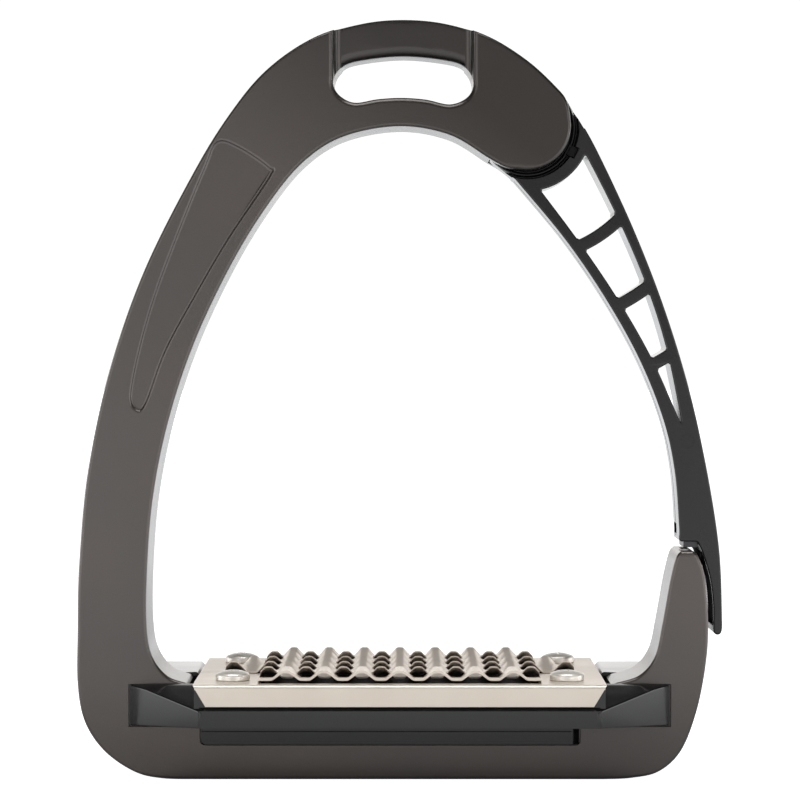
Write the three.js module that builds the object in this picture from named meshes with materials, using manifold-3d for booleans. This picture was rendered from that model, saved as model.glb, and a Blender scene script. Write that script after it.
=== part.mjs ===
// Safety stirrup iron with an outward-opening arm, in millimetres.
// +Z is up, X runs across the tread and Y runs from the front face to the back face.
// The origin is the middle of the flat underside. The arm turns about an axis along Y.
import * as THREE from 'three';
import { mergeVertices } from 'three/addons/utils/BufferGeometryUtils.js';
import { ConvexGeometry } from 'three/addons/geometries/ConvexGeometry.js';
import Module from 'manifold-3d';

const wasm = await Module();
wasm.setup();

// ---------------------------------------------------------------- driving dimensions

const GAP = 0.3;                        // clearance between pieces that stand side by side
const FACE = 9.5;                       // front and back faces of the frame, as +-Y

const PIVOT = { x: 29.45, z: 150.6 };   // hinge axis of the release arm
const LOBE_R = 9.95;                    // rounded end of the two cheeks over the hinge
const FORK_R = 12.3;                    // slot between the cheeks
const FORK_Y = 5.2;                     // half width of that slot
const HUB_R = 11.2;                     // thin round end of the arm inside the slot
const HUB_Y = 4.3;                      // half thickness of that end
const SHOULDER_R = 12.05;               // where the arm steps up to its full thickness
const ARM_Y = 6.75;                     // half thickness of the arm
const BUSHING_R = 4;
const SHANK_R = 2.5;

const SHELF_Z = 22.35;                  // top of the base beam beside the tread
const BEAM_TOP = 20;                    // top of the base beam under the tread
const TREAD_TOP = 24.1;                 // top face of the steel tread
const SHEET = 0.8;                      // steel thickness
const TREAD_X = 46.5;                   // half length of the tread
const TREAD_Y = 28.5;                   // half depth of the tread
const FLANGE_Z = 19.2;                  // lower edge of the tread's turned-down flanges
const DECK_X = 46.2;                    // half length of the holder's deck
const WALL_Y = 28.8;                    // outer faces of the holder's walls
const WALL_Z = 14.4;                    // lower edge of those walls
const DECK_TOP = 22.9;
const SLOT_X = 48.9;                    // half length of the slot in the beam for the deck
const FAIRING_X = 62.3;                 // outer ends of the holder's fairings

const TREAD_SCREW = { x: 38, y: 18.2 };
const BASE_SCREW_X = 24;
const SCREW_R = 2;
const TOOTH_PITCH = 8.56;
const ROW_EDGES = [-25, -16.2, -5.4, 5.4, 16.2, 25];   // slits between the rows of teeth
const TROUGH = 0.4;                     // height of the wave's troughs over the tread
const FRONT_TROUGH = 1.2;               // the same along the front edge of the first row
const PEAK = 2.9;                       // height of its peaks

const MAGNET = { x0: 65.8, x1: 69, y: 5 };
const NOTCH_Z = 54.8;                   // underside of the arm above the post
const POST_TOP = 52.7;

// ---------------------------------------------------------------- solids

const X = 0;
const Y = 1;
const Z = 2;

function solid(geometry) {
  geometry.deleteAttribute('normal');
  geometry.deleteAttribute('uv');
  const merged = mergeVertices(geometry, 1e-4);
  const corners = merged.index.array;
  const triVerts = [];
  for (let i = 0; i < corners.length; i += 3) {
    const [a, b, c] = corners.slice(i, i + 3);
    if (a !== b && b !== c && c !== a) triVerts.push(a, b, c);
  }
  const vertProperties = new Float32Array(merged.attributes.position.array);
  return new wasm.Manifold(new wasm.Mesh({ numProp: 3, vertProperties, triVerts: new Uint32Array(triVerts) }));
}

function toGeometry(body) {
  const mesh = body.getMesh();
  const geometry = new THREE.BufferGeometry();
  geometry.setAttribute('position', new THREE.BufferAttribute(mesh.vertProperties, 3));
  geometry.setIndex(new THREE.BufferAttribute(mesh.triVerts, 1));
  geometry.computeVertexNormals();
  return geometry;
}

// The outline as plain points, without the double points where its curves meet.
function asPoints(shape, steps) {
  const points = shape.getPoints(steps);
  return new THREE.Shape(points.filter((p, i) => p.distanceTo(points[(i + 1) % points.length]) > 1e-3));
}

// An outline in X and Z, extruded in Y between two planes.
function plate(shape, yFront, yBack, steps = 3) {
  const depth = yBack - yFront;
  const geometry = new THREE.ExtrudeGeometry(asPoints(shape, steps), { depth, bevelEnabled: false });
  geometry.rotateX(Math.PI / 2);
  geometry.translate(0, yBack, 0);
  return solid(geometry);
}

// An outline in X and Y, extruded upwards.
function column(shape, zLow, zHigh, steps = 3) {
  const depth = zHigh - zLow;
  const geometry = new THREE.ExtrudeGeometry(asPoints(shape, steps), { depth, bevelEnabled: false });
  geometry.translate(0, 0, zLow);
  return solid(geometry);
}

function block(x0, x1, y0, y1, z0, z1) {
  const geometry = new THREE.BoxGeometry(x1 - x0, y1 - y0, z1 - z0);
  geometry.translate((x0 + x1) / 2, (y0 + y1) / 2, (z0 + z1) / 2);
  return solid(geometry);
}

// A round bar along Y or Z, given where it starts and ends.
function bar(axis, a, b, radius, from, to, segments = 20) {
  const geometry = new THREE.CylinderGeometry(radius, radius, to - from, segments);
  if (axis === Y) {
    geometry.translate(a, (from + to) / 2, b);
  } else {
    geometry.rotateX(Math.PI / 2);
    geometry.translate(a, b, (from + to) / 2);
  }
  return solid(geometry);
}

function hull(points) {
  return solid(new ConvexGeometry(points.map((p) => new THREE.Vector3(...p))));
}

// A profile of [radius, height] points turned about a vertical axis at x, y.
function turned(profile, x, y, segments = 20) {
  const geometry = new THREE.LatheGeometry(profile.map((p) => new THREE.Vector2(...p)), segments);
  geometry.rotateX(Math.PI / 2);
  geometry.translate(x, y, 0);
  return solid(geometry);
}

function mirrored(body, axis) {
  const normal = [0, 0, 0];
  normal[axis] = 1;
  return body.mirror(normal);
}

// Both halves of something that repeats front and back, or left and right.
function both(body, axis) {
  return body.add(mirrored(body, axis));
}

// ---------------------------------------------------------------- outlines

const vectors = (points) => points.map((p) => new THREE.Vector2(...p));

function closedSpline(points) {
  const curve = new THREE.CatmullRomCurve3(points.map((p) => new THREE.Vector3(...p, 0)), true, 'catmullrom');
  return new THREE.Shape(vectors(curve.getPoints(points.length * 3).slice(0, -1).map((p) => [p.x, p.y])));
}

function closedPolygon(points) {
  return new THREE.Shape(vectors(points));
}

function onCircle(radius, angle) {
  return [PIVOT.x + radius * Math.cos(angle), PIVOT.z + radius * Math.sin(angle)];
}

function frameOutline() {
  const leftCorner = [[-54.8, 0.2], [-61.2, 1.7], [-68.1, 6.4], [-72.7, 13.2], [-74.4, 22]];
  const leftBranch = [[-74.4, 34], [-74, 50], [-71.9, 71.4], [-66.9, 94.5], [-58.8, 117.6], [-47.1, 140.7]];
  const crown = [[-38.4, 154.5], [-30.3, 163.9], [-20, 170.9], [-9.2, 174.3], [0.5, 175.3], [10.5, 174.4],
    [20.5, 171.2], [29.5, 165.6], [36.3, 159.3], [38.5, 156.2], onCircle(LOBE_R, 0.12)];
  const lobeEnd = -1.75;
  const arch = [[24.5, 141.2], [20.6, 143.2], [11.5, 148.6], [0, 150.6], [-12.5, 148.4], [-21.5, 143]];
  const innerBranch = [[-29.3, 134], [-38.2, 119.9], [-47.1, 101.4], [-53.3, 82.9], [-57, 64.5], [-58.4, 46],
    [-58.3, 34], [-56.9, 28], [-53.6, 23.9], [-49.5, SHELF_Z]];
  const innerPost = [[55.3, 24.1], [58.9, 28.5], [60.6, 36], [62.3, 45.5], [63.7, 51.2], [64.8, POST_TOP]];
  const outerPost = [[68.8, 51.6], [70.4, 46.8], [71.2, 36], [70.7, 27], [68.6, 16], [65, 6.7], [59.8, 1.8],
    [53.4, 0.3], [47, 0]];
  const shape = new THREE.Shape();
  shape.moveTo(-47, 0);
  shape.splineThru(vectors([...leftCorner, ...leftBranch, ...crown]));
  shape.absarc(PIVOT.x, PIVOT.z, LOBE_R, 0.12, lobeEnd, true);
  shape.splineThru(vectors([...arch, ...innerBranch]));
  shape.lineTo(-SLOT_X, SHELF_Z - 0.6);
  shape.lineTo(-SLOT_X, BEAM_TOP);
  shape.lineTo(SLOT_X, BEAM_TOP);
  shape.lineTo(SLOT_X, SHELF_Z - 0.6);
  shape.lineTo(50, SHELF_Z);
  shape.splineThru(vectors(innerPost));
  shape.lineTo(67.6, POST_TOP);
  shape.splineThru(vectors(outerPost));
  shape.closePath();
  return shape;
}

const eyeOutline = () => closedSpline([[-15.3, 161], [-13.9, 163.9], [-10.2, 165.8], [0.8, 167], [12, 165.8],
  [15.6, 163.8], [16.9, 160.6], [15.6, 157.4], [11.6, 155.7], [6, 156.8], [0.5, 157.2], [-5, 156.9],
  [-10.5, 156.1], [-14.1, 158]]);

const branchPocketOutline = () => closedSpline([[-42, 147], [-37, 145.8], [-30.2, 141.2], [-29.9, 139],
  [-39.3, 125], [-46.6, 112.6], [-53.9, 99.2], [-58.4, 87.2], [-60.5, 85.3], [-62, 88.6], [-60, 99.2],
  [-56.1, 112.6], [-49.9, 128.9], [-44.9, 141]]);

// ---------------------------------------------------------------- frame

// The channel beside the eye, where the stirrup leather lies against the bar.
function leatherChannel() {
  const depth = 3;
  const [x0, x1] = [-15.2, 16.8];
  const shape = new THREE.Shape();
  shape.moveTo(x0, -FACE - 1);
  shape.lineTo(x1, -FACE - 1);
  shape.lineTo(x1, -FACE);
  shape.absarc(x1 - depth, -FACE, depth, 0, Math.PI / 2, false);
  shape.lineTo(x0 + depth, -FACE + depth);
  shape.absarc(x0 + depth, -FACE, depth, Math.PI / 2, Math.PI, false);
  shape.closePath();
  return column(shape, 161, 178);
}

// Pockets in each face that take the roots of the holder's fairings and its lower rib.
function facePockets() {
  const depth = 1.2;
  const fairing = both(block(44, FAIRING_X + GAP, -FACE - 1, -FACE + depth, 12.2, SHELF_Z - 0.2), X);
  const rib = block(-46.2, 41.8, -FACE - 1, -FACE + 1.8, 7.9, 15);
  return both(fairing.add(rib), Y);
}

// The slot for the hub: wider above, where the arm's shoulder passes as it opens.
function forkSlot() {
  const wide = bar(Y, PIVOT.x, PIVOT.z, FORK_R, -FORK_Y, FORK_Y, 48);
  const low = block(0, PIVOT.x - 5, -FORK_Y, FORK_Y, 130, 147);
  return wide.subtract(low).add(bar(Y, PIVOT.x, PIVOT.z, HUB_R + GAP, -FORK_Y, FORK_Y, 48));
}

function hingeBores() {
  const blind = bar(Y, PIVOT.x, PIVOT.z, SHANK_R + 0.1, -FACE + 1.3, FACE + 1);
  const counterbore = bar(Y, PIVOT.x, PIVOT.z, 4.8, FACE - 2.4, FACE + 1);
  return blind.add(counterbore);
}

function baseScrewHole(x) {
  const boss = bar(Z, x, 0, 4.9, 13.7, BEAM_TOP + 1);
  const through = bar(Z, x, 0, SCREW_R + 0.3, -1, 15);
  const counterbore = bar(Z, x, 0, 4.1, -1, 3.2);
  return boss.add(through).add(counterbore);
}

function makeFrame() {
  const eye = plate(eyeOutline(), -FACE - 1, FACE + 1);
  const branchPocket = plate(branchPocketOutline(), -FACE - 1, -FACE + 0.6);
  const magnetPocket = block(MAGNET.x0 - 0.1, MAGNET.x1 - 0.9, -MAGNET.y - 0.1, MAGNET.y + 0.1, 47, 60);
  return plate(frameOutline(), -FACE, FACE)
    .subtract(eye)
    .subtract(both(leatherChannel(), Y))
    .subtract(both(branchPocket, Y))
    .subtract(facePockets())
    .subtract(forkSlot())
    .subtract(hingeBores())
    .subtract(baseScrewHole(-BASE_SCREW_X))
    .subtract(baseScrewHole(BASE_SCREW_X))
    .subtract(magnetPocket);
}

// ---------------------------------------------------------------- release arm

const OUTER_EDGE = [[40, 154.8], [45.4, 145.5], [54.1, 126.9], [61.3, 108.4], [67, 89.8], [71.1, 71.3],
  [74, 52.7], [74.7, 36]];
const INNER_EDGE = [[64.6, 58.5], [63.6, 71], [61, 82.9], [55.5, 96.8], [47.7, 110.8], [38.2, 124.7],
  [26.7, 138.5]];

function armOutline() {
  const shape = new THREE.Shape();
  shape.moveTo(...OUTER_EDGE[0]);
  shape.splineThru(vectors(OUTER_EDGE.slice(1)));
  shape.quadraticCurveTo(74.8, 33.2, 73.7, 33.2);
  shape.quadraticCurveTo(72.6, 33.2, 72.6, 34.6);
  shape.splineThru(vectors([[72.6, 40], [71.9, 46], [70.2, 51.9], [69.2, 54.2]]));
  shape.quadraticCurveTo(69, NOTCH_Z, 68.3, NOTCH_Z);
  shape.lineTo(65.5, NOTCH_Z);
  shape.quadraticCurveTo(64.6, NOTCH_Z, 64.6, NOTCH_Z + 0.9);
  shape.splineThru(vectors(INNER_EDGE));
  const [x, z] = INNER_EDGE[INNER_EDGE.length - 1];
  const start = Math.atan2(z - PIVOT.z, x - PIVOT.x) - 0.44;
  shape.lineTo(...onCircle(HUB_R, start));
  shape.absarc(PIVOT.x, PIVOT.z, HUB_R, start, 0.45 - 2 * Math.PI, true);
  shape.closePath();
  return shape;
}

// The windows lie between two rails and end in arcs about the hinge axis.
const INNER_RAIL = new THREE.SplineCurve(vectors([[29.6, 139.9], [41, 124.8], [50.2, 111.3], [58.2, 97.4],
  [65, 82.2]]));
const OUTER_RAIL = new THREE.SplineCurve(vectors([[41.3, 147.4], [49.7, 130.9], [56.5, 115.3], [61.6, 99.6],
  [65.4, 81.4]]));
const WINDOW_RINGS = [[14.8, 28.5], [31.5, 44.7], [47.7, 60.6], [63.5, 76.7]];

function railPoint(rail, radius) {
  let low = 0;
  let high = 1;
  for (let i = 0; i < 30; i += 1) {
    const middle = (low + high) / 2;
    const point = rail.getPoint(middle);
    if (Math.hypot(point.x - PIVOT.x, point.y - PIVOT.z) < radius) low = middle;
    else high = middle;
  }
  return rail.getPoint(low);
}

function windowOutline([nearRadius, farRadius]) {
  const angleOf = (p) => Math.atan2(p.y - PIVOT.z, p.x - PIVOT.x);
  const near = [railPoint(INNER_RAIL, nearRadius), railPoint(OUTER_RAIL, nearRadius)];
  const far = [railPoint(INNER_RAIL, farRadius), railPoint(OUTER_RAIL, farRadius)];
  const shape = new THREE.Shape();
  shape.moveTo(near[0].x, near[0].y);
  shape.absarc(PIVOT.x, PIVOT.z, nearRadius, angleOf(near[0]), angleOf(near[1]), false);
  shape.lineTo(far[1].x, far[1].y);
  shape.absarc(PIVOT.x, PIVOT.z, farRadius, angleOf(far[1]), angleOf(far[0]), true);
  shape.closePath();
  return shape;
}

// The step round the hub: the arm is thin inside the shoulder and above the hinge axis.
function hubRelief() {
  const ring = bar(Y, PIVOT.x, PIVOT.z, SHOULDER_R, -ARM_Y - 1, -HUB_Y, 48);
  const above = block(PIVOT.x, PIVOT.x + 20, -ARM_Y - 1, -HUB_Y, PIVOT.z - 0.3, PIVOT.z + 12);
  return both(ring.add(above), Y);
}

// The blade is hollowed along the side that faces the post.
function bladeGroove() {
  const shape = new THREE.Shape(vectors([[66, 52.4], [69, 35.2], [73.6, 35.2]]));
  shape.splineThru(vectors([[73.6, 40], [72.9, 46], [71.3, 51.5], [70.8, 52.4]]));
  shape.closePath();
  return plate(shape, -5.6, 5.6);
}

const KEY_ANGLE = -0.494;

function keyBlock(inner, outer, halfWidth, y0, y1) {
  const geometry = new THREE.BoxGeometry(outer - inner, y1 - y0, 2 * halfWidth);
  geometry.translate((inner + outer) / 2, (y0 + y1) / 2, 0);
  geometry.rotateY(-KEY_ANGLE);
  geometry.translate(PIVOT.x, 0, PIVOT.z);
  return solid(geometry);
}

function makeReleaseArm() {
  let arm = plate(armOutline(), -ARM_Y, ARM_Y).subtract(hubRelief());
  for (const rings of WINDOW_RINGS) arm = arm.subtract(plate(windowOutline(rings), -ARM_Y - 1, ARM_Y + 1));
  const slot = block(62, 65.4, -0.2, 5.2, 56.3, 58.7);
  const magnetPocket = block(MAGNET.x0 - 0.1, MAGNET.x1 + 0.1, -MAGNET.y - 0.1, MAGNET.y + 0.1, 50, 58.1);
  const marks = both(bar(Y, 66.5, 78.2, 1.6, -ARM_Y - 1, -ARM_Y + 0.2), Y);
  return arm
    .subtract(keyBlock(10.6, 13, 1.4, -ARM_Y - 1, -3.2))
    .subtract(bar(Y, PIVOT.x, PIVOT.z, BUSHING_R + 0.05, -8, 8))
    .subtract(magnetPocket)
    .subtract(slot)
    .subtract(bladeGroove())
    .subtract(marks);
}

const makeStopKey = () => keyBlock(10.9, 12.8, 1.2, -5.9, -3.3);

function makeHingeBushing() {
  const tube = bar(Y, PIVOT.x, PIVOT.z, BUSHING_R, -HUB_Y, HUB_Y);
  return tube.subtract(bar(Y, PIVOT.x, PIVOT.z, SHANK_R + 0.05, -8, 8));
}

function makeThrustWasher(y0, y1) {
  const disc = bar(Y, PIVOT.x, PIVOT.z, 7, y0, y1);
  return disc.subtract(bar(Y, PIVOT.x, PIVOT.z, SHANK_R + 0.05, -8, 8));
}

function makeHingeScrew() {
  const shank = bar(Y, PIVOT.x, PIVOT.z, SHANK_R, -FACE + 1.6, FACE - 2);
  const head = bar(Y, PIVOT.x, PIVOT.z, 4.5, FACE - 2.3, FACE - 0.2);
  const socket = bar(Y, PIVOT.x, PIVOT.z, 1.75, FACE - 1.9, FACE + 1, 6);
  return shank.add(head).subtract(socket);
}

const makeArmMagnet = () => block(MAGNET.x0, MAGNET.x1, -MAGNET.y, MAGNET.y, 53.4, 58);
const makePostMagnet = () => block(MAGNET.x0, MAGNET.x1 - 1, -MAGNET.y, MAGNET.y, 47.1, 52.4);

// ---------------------------------------------------------------- tread holder

// The root that seats a fairing in the pocket of the frame's front face.
const fairingRoot = () => block(44, FAIRING_X, -FACE - 0.2, -FACE + 0.9, 12.55, 21.9);

// In front a fairing tapers from the frame down to the corner of the holder, under a curved ridge.
function frontFairing() {
  const face = -FACE - 0.1;
  const ridge = [[FAIRING_X, face, 21.9], [58.4, -13.8, 21.5], [55, -17.7, 20.6], [50, -23, 19.2],
    [45, -WALL_Y, 18.3]];
  const body = hull([...ridge, [47.8, face, 22.2], [44, face, 22.2], [FAIRING_X, face, 12.55], [44, face, 12.6],
    [44, -WALL_Y, 18], [45, -WALL_Y, WALL_Z], [44, -WALL_Y, WALL_Z]]);
  return body.add(fairingRoot());
}

// Behind the frame the fairing is wider and its top stays level.
function backFairing() {
  const face = FACE + 0.1;
  const body = hull([[FAIRING_X, face, 12.55], [FAIRING_X, face, 22.1], [48.2, face, 22.7], [44, face, 12.6],
    [44, face, 18], [44, WALL_Y, WALL_Z], [44, WALL_Y, 18], [48.2, WALL_Y, 23.2], [59, WALL_Y, 23.2],
    [58, WALL_Y, 14.6]]);
  return body.add(mirrored(fairingRoot(), Y));
}

// The box beside the beam: a deck with a wall round it, open underneath.
function sideBox() {
  const outer = block(-DECK_X + 1, DECK_X - 1, -27.2, -FACE - GAP, WALL_Z, DECK_TOP);
  const lip = hull([[-45, -27, WALL_Z], [45, -27, WALL_Z], [-45, -WALL_Y, WALL_Z], [45, -WALL_Y, WALL_Z],
    [-45, -WALL_Y, 18.3], [45, -WALL_Y, 18.3], [-45, -27.7, 18.9], [45, -27.7, 18.9], [-45, -27, 18.9],
    [45, -27, 18.9]]);
  const hollow = block(-42, 42, -25.5, -FACE - GAP - 1.8, WALL_Z - 1, DECK_TOP - 2.6);
  return outer.add(lip).subtract(hollow);
}

function ribs() {
  const lower = block(-45.8, 39.5, -FACE - 0.6, -FACE + 1.4, 8.2, WALL_Z + 0.5);
  const end = hull([[39, -FACE - 0.6, 8.2], [39, -FACE - 0.6, WALL_Z], [39, -FACE + 1.4, 8.2],
    [39, -FACE + 1.4, WALL_Z], [41.4, -FACE + 1.4, 8.2], [41.4, -FACE + 1.4, WALL_Z]]);
  const web = block(-45.2, 39, -FACE - 2.2, -FACE - 0.35, 11.9, WALL_Z + 1);
  const groove = block(-46, 42, -FACE - 1, -FACE + 0.2, 11.1, 11.9);
  return lower.add(end).subtract(groove).add(web);
}

function screwBoss(x, y, radius, zLow) {
  return bar(Z, x, y, radius, zLow, DECK_TOP - 0.5);
}

function makeTreadHolder() {
  const deck = block(-DECK_X, DECK_X, -27.2, 27.2, BEAM_TOP + 0.3, DECK_TOP);
  const side = sideBox().add(ribs())
    .add(both(screwBoss(TREAD_SCREW.x, -TREAD_SCREW.y, 4.5, WALL_Z + 0.5), X));
  const baseBosses = both(screwBoss(BASE_SCREW_X, 0, 4.6, 14), X);
  const padBed = block(-34.5, 34.5, -26.2, 26.2, DECK_TOP - 1.2, DECK_TOP + 1);
  const fairings = both(frontFairing().add(backFairing()), X);
  let holder = deck.add(both(side, Y)).add(fairings).add(baseBosses).subtract(padBed);
  for (const [x, y] of screwPlaces()) {
    holder = holder.subtract(bar(Z, x, y, 3.05, 15.4, 21.45)).subtract(bar(Z, x, y, SCREW_R + 0.3, 15, 30));
  }
  for (const x of [-BASE_SCREW_X, BASE_SCREW_X]) {
    holder = holder.subtract(bar(Z, x, 0, 3.05, 13, 20.05));
  }
  return holder;
}

function screwPlaces() {
  const { x, y } = TREAD_SCREW;
  return [[-x, -y], [x, -y], [-x, y], [x, y]];
}

const makeTreadPad = () => block(-34.2, 34.2, -25.9, 25.9, DECK_TOP - 1.1, DECK_TOP - 0.05);

// ---------------------------------------------------------------- steel tread

// One row of teeth: a wavy strip whose wave changes from its front edge to its back edge.
function toothRow(yFront, yBack, frontWave, backWave, halfLength) {
  const stations = [];
  const step = TOOTH_PITCH / 8;
  const count = Math.round(halfLength / step);
  for (let i = -count; i <= count; i += 1) stations.push(i * step);
  const rows = stations.map((x) => [frontWave(x), backWave(x)].map((h) => TREAD_TOP + h));
  const positions = [];
  stations.forEach((x, i) => {
    const [front, back] = rows[i];
    positions.push(x, yFront, front - SHEET, x, yFront, front, x, yBack, back, x, yBack, back - SHEET);
  });
  const faces = [0, 1, 2, 0, 2, 3];
  const last = (stations.length - 1) * 4;
  faces.push(...[0, 2, 1, 0, 3, 2].map((corner) => corner + last));
  for (let i = 0; i < stations.length - 1; i += 1) {
    for (let corner = 0; corner < 4; corner += 1) {
      const a = 4 * i + corner;
      const b = 4 * i + ((corner + 1) % 4);
      faces.push(a, a + 4, b + 4, a, b + 4, b);
    }
  }
  const geometry = new THREE.BufferGeometry();
  geometry.setAttribute('position', new THREE.Float32BufferAttribute(positions, 3));
  geometry.setIndex(faces);
  return solid(geometry);
}

// Height of a wave with flat troughs and peaks one pitch apart, level with the sheet at its ends.
function wave(shift, reach, trough = TROUGH) {
  const [topEnd, footStart] = [0.08, 0.39];
  return (x) => {
    if (Math.abs(x) > reach) return -0.05;
    const phase = Math.abs(((x - shift) / TOOTH_PITCH) % 1);
    const toPeak = Math.min(phase, 1 - phase);
    const rise = (footStart - toPeak) / (footStart - topEnd);
    return trough + (PEAK - trough) * Math.min(1, Math.max(0, rise));
  };
}

function makeTreadPlate() {
  const top = block(-TREAD_X, TREAD_X, -TREAD_Y, TREAD_Y, TREAD_TOP - SHEET, TREAD_TOP);
  const flange = hull([[-TREAD_X, -TREAD_Y, TREAD_TOP], [TREAD_X, -TREAD_Y, TREAD_TOP],
    [-TREAD_X, -TREAD_Y + SHEET, TREAD_TOP], [TREAD_X, -TREAD_Y + SHEET, TREAD_TOP],
    [-43.5, -TREAD_Y, FLANGE_Z], [43.6, -TREAD_Y, FLANGE_Z],
    [-43.5, -TREAD_Y + SHEET, FLANGE_Z], [43.6, -TREAD_Y + SHEET, FLANGE_Z]]);
  const inset = 0.15;
  let sheet = top.add(both(flange, Y));
  for (let row = 0; row < ROW_EDGES.length - 1; row += 1) {
    const [y0, y1] = [ROW_EDGES[row], ROW_EDGES[row + 1]];
    const half = (row === 2 ? 4.75 : 3.75) * TOOTH_PITCH;
    const reach = half - 0.1;
    const onPitch = wave(0, reach);
    const front = row === 0 ? wave(0, reach, FRONT_TROUGH) : wave(TOOTH_PITCH / 2, reach);
    sheet = sheet.subtract(block(-half + 0.5, half - 0.5, y0, y1, TREAD_TOP - 2, TREAD_TOP + 1));
    sheet = sheet.add(toothRow(y0 + inset, y1 - inset, front, onPitch, half));
  }
  for (const [x, y] of screwPlaces()) {
    sheet = sheet.subtract(bar(Z, x, y, SCREW_R + 0.3, 20, 30));
  }
  return sheet;
}

// ---------------------------------------------------------------- fasteners

function makeTreadScrew(x, y) {
  const seat = TREAD_TOP + 0.05;
  const profile = [[0, 16.2], [SCREW_R, 16.2], [SCREW_R, seat], [3.9, seat], [3.9, seat + 0.9], [3.5, seat + 1.7],
    [2.4, seat + 2.2], [0, seat + 2.4]];
  const slotLong = 1.9;
  const slotWide = 0.4;
  const cross = block(x - slotLong, x + slotLong, y - slotWide, y + slotWide, seat + 1.4, seat + 4)
    .add(block(x - slotWide, x + slotWide, y - slotLong, y + slotLong, seat + 1.4, seat + 4));
  return turned(profile, x, y).subtract(cross);
}

function makeInsert(x, y, zLow, zHigh) {
  return bar(Z, x, y, 3, zLow, zHigh).subtract(bar(Z, x, y, SCREW_R + 0.05, zLow - 1, zHigh + 1));
}

function makeBaseScrew(x) {
  const profile = [[0, 0.6], [3.8, 0.6], [3.8, 3.1], [SCREW_R, 3.1], [SCREW_R, 19.5], [0, 19.5]];
  return turned(profile, x, 0).subtract(bar(Z, x, 0, 1.45, 0, 2.3, 6));
}

// ---------------------------------------------------------------- assembly

const MATERIALS = {
  anodised: { color: 0x4f4c4a, roughness: 0.42, metalness: 0.75 },
  nylon: { color: 0x2b292b, roughness: 0.3, metalness: 0 },
  holder: { color: 0x1e1e20, roughness: 0.22, metalness: 0 },
  rubber: { color: 0x121212, roughness: 0.8, metalness: 0 },
  sheet: { color: 0xb3aca3, roughness: 0.38, metalness: 0.9 },
  steel: { color: 0xc9c6c2, roughness: 0.25, metalness: 1 },
  bronze: { color: 0x9a7a4a, roughness: 0.4, metalness: 1 },
  magnet: { color: 0x75757a, roughness: 0.45, metalness: 0.8 },
};

const stirrup = new THREE.Group();

function add(name, material, body) {
  const mesh = new THREE.Mesh(toGeometry(body), new THREE.MeshStandardMaterial(MATERIALS[material]));
  mesh.name = name;
  stirrup.add(mesh);
}

add('frame', 'anodised', makeFrame());
add('release_arm', 'nylon', makeReleaseArm());
add('stop_key', 'rubber', makeStopKey());
add('hinge_bushing', 'bronze', makeHingeBushing());
add('hinge_screw', 'steel', makeHingeScrew());
add('thrust_washer_front', 'nylon', makeThrustWasher(-FORK_Y + 0.1, -HUB_Y - 0.1));
add('thrust_washer_back', 'nylon', makeThrustWasher(HUB_Y + 0.1, FORK_Y - 0.1));
add('arm_magnet', 'magnet', makeArmMagnet());
add('post_magnet', 'magnet', makePostMagnet());
add('tread_holder', 'holder', makeTreadHolder());
add('tread_pad', 'rubber', makeTreadPad());
add('tread_plate', 'sheet', makeTreadPlate());
screwPlaces().forEach(([x, y], i) => {
  add(`tread_screw_${i + 1}`, 'steel', makeTreadScrew(x, y));
  add(`tread_insert_${i + 1}`, 'bronze', makeInsert(x, y, 15.5, 21.4));
});
[-BASE_SCREW_X, BASE_SCREW_X].forEach((x, i) => {
  add(`base_screw_${i + 1}`, 'steel', makeBaseScrew(x));
  add(`base_insert_${i + 1}`, 'bronze', makeInsert(x, 0, 14.1, 20));
});

export default stirrup;
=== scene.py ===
"""Looks of the safety stirrup iron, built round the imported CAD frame, in mm until a piece is finished."""
import math

import bmesh
import bpy
from mathutils import Matrix, Vector


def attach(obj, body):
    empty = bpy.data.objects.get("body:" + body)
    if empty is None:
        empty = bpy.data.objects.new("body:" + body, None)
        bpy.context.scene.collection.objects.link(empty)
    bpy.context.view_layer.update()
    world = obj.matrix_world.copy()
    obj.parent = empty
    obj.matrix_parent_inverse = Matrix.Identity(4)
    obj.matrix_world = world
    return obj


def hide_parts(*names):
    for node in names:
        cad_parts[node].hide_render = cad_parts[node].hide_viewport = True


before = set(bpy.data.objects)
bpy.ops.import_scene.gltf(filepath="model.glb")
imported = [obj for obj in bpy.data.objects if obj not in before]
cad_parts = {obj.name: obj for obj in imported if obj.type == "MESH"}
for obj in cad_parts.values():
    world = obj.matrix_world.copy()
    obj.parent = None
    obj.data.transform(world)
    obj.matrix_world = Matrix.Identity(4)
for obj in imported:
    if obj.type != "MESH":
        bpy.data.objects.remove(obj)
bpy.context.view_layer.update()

MM = 0.001
FRAME_BODY = "frame_body"
ARM_BODY = "arm_body"

# ---------------------------------------------------------------- sizes shared with the CAD model

FACE = 9.5
PIVOT = (29.45, 150.6)
LOBE_R = 9.95
FORK_R = 12.3
FORK_Y = 5.2
HUB_R = 11.2
HUB_Y = 4.3
SHOULDER_R = 12.05
ARM_Y = 6.75
BUSHING_R = 4.05
SHELF_Z = 22.35
BEAM_TOP = 20.0
TREAD_TOP = 24.1
SHEET = 0.8
TREAD_X = 46.5
TREAD_Y = 28.5
FLANGE_Z = 19.2
FLANGE_X = 43.55
DECK_X = 46.2
DECK_Y = 27.2
DECK_TOP = 22.9
WALL_Y = 28.8
WALL_Z = 14.4
SLOT_X = 48.9
FAIRING_X = 62.3
FAIRING_END = 44
FAIRING_LOW = 12.55
SCREW_X = 38.0
SCREW_Y = 18.2
BASE_SCREW_X = 24.0
SCREW_HOLE_R = 2.3
INSERT_HOLE_R = 3.05
BED_X = 34.5
BED_Y = 26.2
TOOTH_PITCH = 8.56
ROW_EDGES = (-25.0, -16.2, -5.4, 5.4, 16.2, 25.0)
TROUGH = 0.4
FRONT_TROUGH = 1.2
PEAK = 2.9
MAGNET_X = (65.8, 69.0)
MAGNET_Y = 5.0
NOTCH_Z = 54.8
POST_TOP = 52.7
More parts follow.
